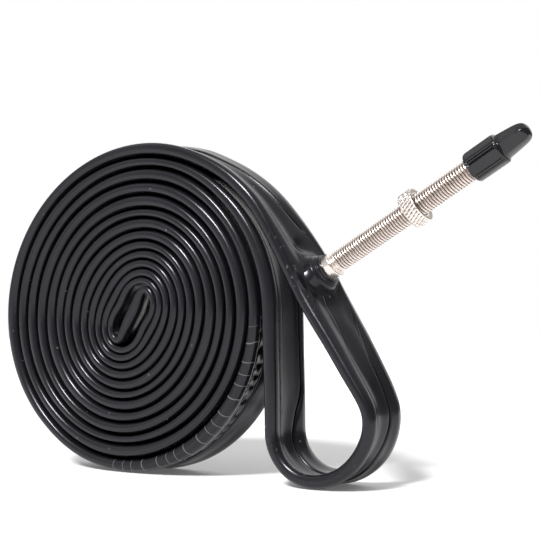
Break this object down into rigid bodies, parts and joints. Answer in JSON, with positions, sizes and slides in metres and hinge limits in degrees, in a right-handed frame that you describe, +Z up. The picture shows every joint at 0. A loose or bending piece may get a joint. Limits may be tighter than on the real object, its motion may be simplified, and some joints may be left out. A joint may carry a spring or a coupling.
{
  "type": "bicycle inner tube",
  "caption": "Rolled butyl bicycle inner tube with a long threaded presta valve, knurled rim nut, lift-shut valve core and dust cap.",
  "frame": {"origin": "middle of the underside of the whole object's bounding box, on the surface it stands on", "axes": "+X along the object's length from the roll towards the valve's side, +Y across the flattened tube's width to the rear, +Z up"},
  "size_m": [0.1666, 0.0174, 0.0932],
  "materials": {
    "butyl_rubber": "satin",
    "nickel_plate": "bright nickel plate",
    "brass": "machined",
    "seal_rubber": "matt",
    "cap_plastic": "gloss"
  },
  "bodies": {
    "inner_tube": {"tube_coil": "butyl_rubber", "tube_loop": "butyl_rubber", "valve_patch": "butyl_rubber", "valve_stem": "nickel_plate", "core_body": "nickel_plate", "core_gasket": "seal_rubber"},
    "rim_nut": {"rim_nut": "nickel_plate"},
    "core_pin": {"core_pin": "brass", "plunger_seal": "seal_rubber"},
    "core_nut": {"core_nut": "brass"},
    "dust_cap": {"dust_cap": "cap_plastic"}
  },
  "joints": [
    {"name": "rim_nut_travel", "type": "slide", "parent": "inner_tube", "child": "rim_nut", "axis": [0.8652, 0, 0.5015], "range_m": [-0.024, 0.0155]},
    {"name": "cap_off", "type": "slide", "parent": "inner_tube", "child": "dust_cap", "axis": [0.8652, 0, 0.5015], "range_m": [0, 0.025]},
    {"name": "pin_press", "type": "slide", "parent": "inner_tube", "child": "core_pin", "axis": [0.8652, 0, 0.5015], "range_m": [-0.002, 0]},
    {"name": "core_nut_unscrew", "type": "slide", "parent": "core_pin", "child": "core_nut", "axis": [0.8652, 0, 0.5015], "range_m": [0, 0.0024]}
  ],
  "couplings": [
    {"joint": "core_nut_unscrew", "follows": "pin_press", "ratio": -1.2}
  ]
}
